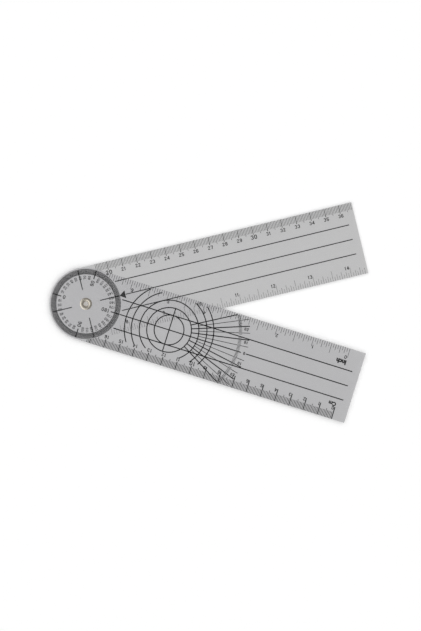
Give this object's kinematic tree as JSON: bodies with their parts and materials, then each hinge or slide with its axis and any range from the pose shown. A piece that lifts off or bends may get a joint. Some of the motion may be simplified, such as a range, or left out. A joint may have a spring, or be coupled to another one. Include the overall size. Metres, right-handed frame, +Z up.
{
  "type": "angle finder with arms",
  "caption": "Clear flat goniometer: two ruled arms turning on a hollow rivet, with a degree dial, a circle gauge and a fan of angle lines.",
  "frame": {"origin": "on the rivet's axis, at the flat bottom of its rolled flange", "axes": "+Z up along the rivet, from the rolled flange to the rounded head; -X along the dial arm, from the pivot to its square end"},
  "size_m": [0.2134, 0.1427, 0.0043],
  "materials": {
    "clear_plastic": "clear, polished",
    "dial_arm_ink": "screen-printed black ink",
    "pointer_arm_ink": "screen-printed black ink",
    "rivet_brass": "pale polished brass",
    "washer_nylon": "natural nylon"
  },
  "bodies": {
    "dial_arm": {"dial_arm_blade": "clear_plastic", "dial_arm_cm_ticks": "dial_arm_ink", "dial_arm_cm_numerals": "dial_arm_ink", "dial_arm_inch_ticks": "dial_arm_ink", "dial_arm_inch_numerals": "dial_arm_ink", "dial_degree_ticks": "dial_arm_ink", "dial_degree_numerals": "dial_arm_ink", "dial_axis_marks": "dial_arm_ink", "curve_gauge_lines": "dial_arm_ink", "fan_degree_ticks": "dial_arm_ink", "fan_numerals": "dial_arm_ink", "eyelet": "rivet_brass", "spacer_washer": "washer_nylon", "back_washer": "washer_nylon"},
    "pointer_arm": {"pointer_arm_blade": "clear_plastic", "pointer_arm_cm_ticks": "pointer_arm_ink", "pointer_arm_cm_numerals": "pointer_arm_ink", "pointer_arm_inch_ticks": "pointer_arm_ink", "pointer_arm_inch_numerals": "pointer_arm_ink", "pointer_arm_guide_lines": "pointer_arm_ink", "pointer_arrow": "pointer_arm_ink", "crosshair_lines": "pointer_arm_ink"}
  },
  "joints": [
    {"name": "arm_pivot", "type": "hinge", "parent": "dial_arm", "child": "pointer_arm", "pos_m": [0, 0, 0], "axis": [0, 0, 1], "continuous": true}
  ]
}
